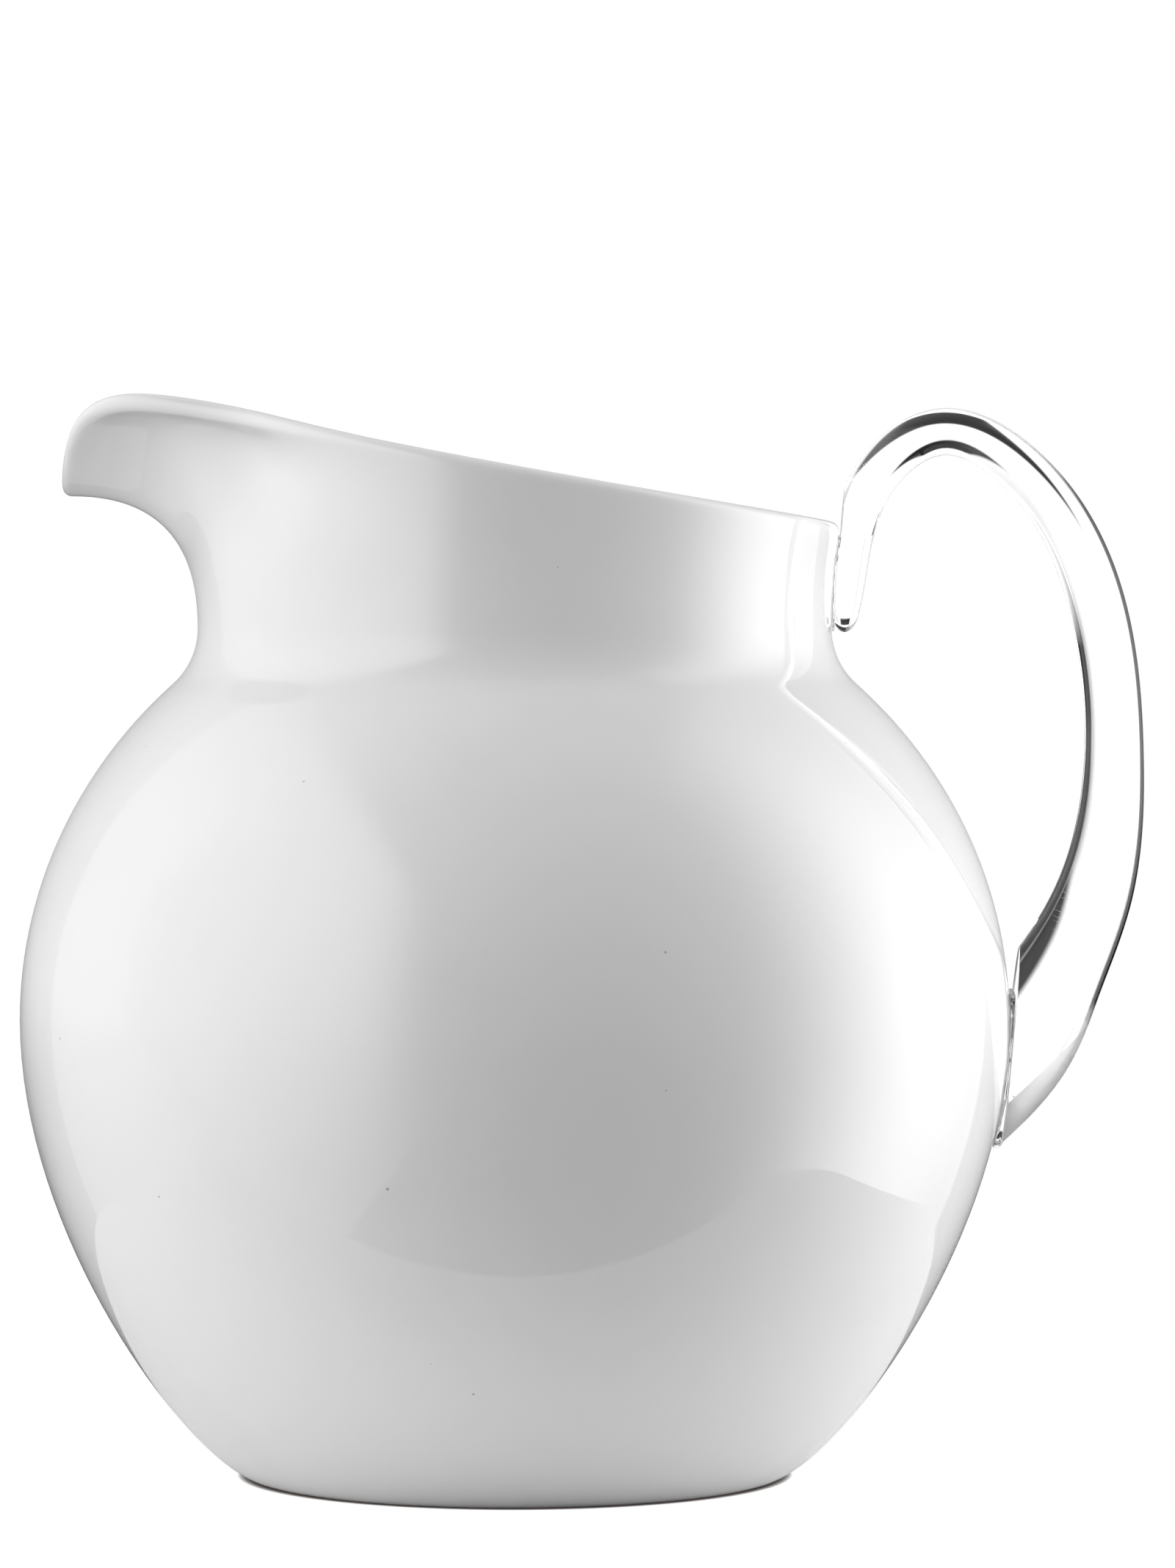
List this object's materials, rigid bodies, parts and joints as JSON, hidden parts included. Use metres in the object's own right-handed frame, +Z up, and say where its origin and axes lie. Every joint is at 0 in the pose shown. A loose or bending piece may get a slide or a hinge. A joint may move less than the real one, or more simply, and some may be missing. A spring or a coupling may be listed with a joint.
{
  "type": "jug",
  "caption": "Ball-bodied pouring jug with a slanted rim, a folded-down lip and a clear looped handle glued at the neck and the belly.",
  "frame": {"origin": "on the belly's vertical axis, in the plane of the flat base the jug stands on", "axes": "+Z up, the pouring lip towards -X and the handle towards +X"},
  "size_m": [0.1873, 0.1646, 0.1795],
  "materials": {
    "shell": "moulded opaque white, polished to a high gloss",
    "clear_rod": "clear colourless solid rod, polished",
    "glue": "cured clear adhesive, slightly uneven"
  },
  "bodies": {
    "root": {"jug_body": "shell", "handle": "clear_rod", "neck_bond": "glue", "belly_bond": "glue"}
  },
  "joints": []
}
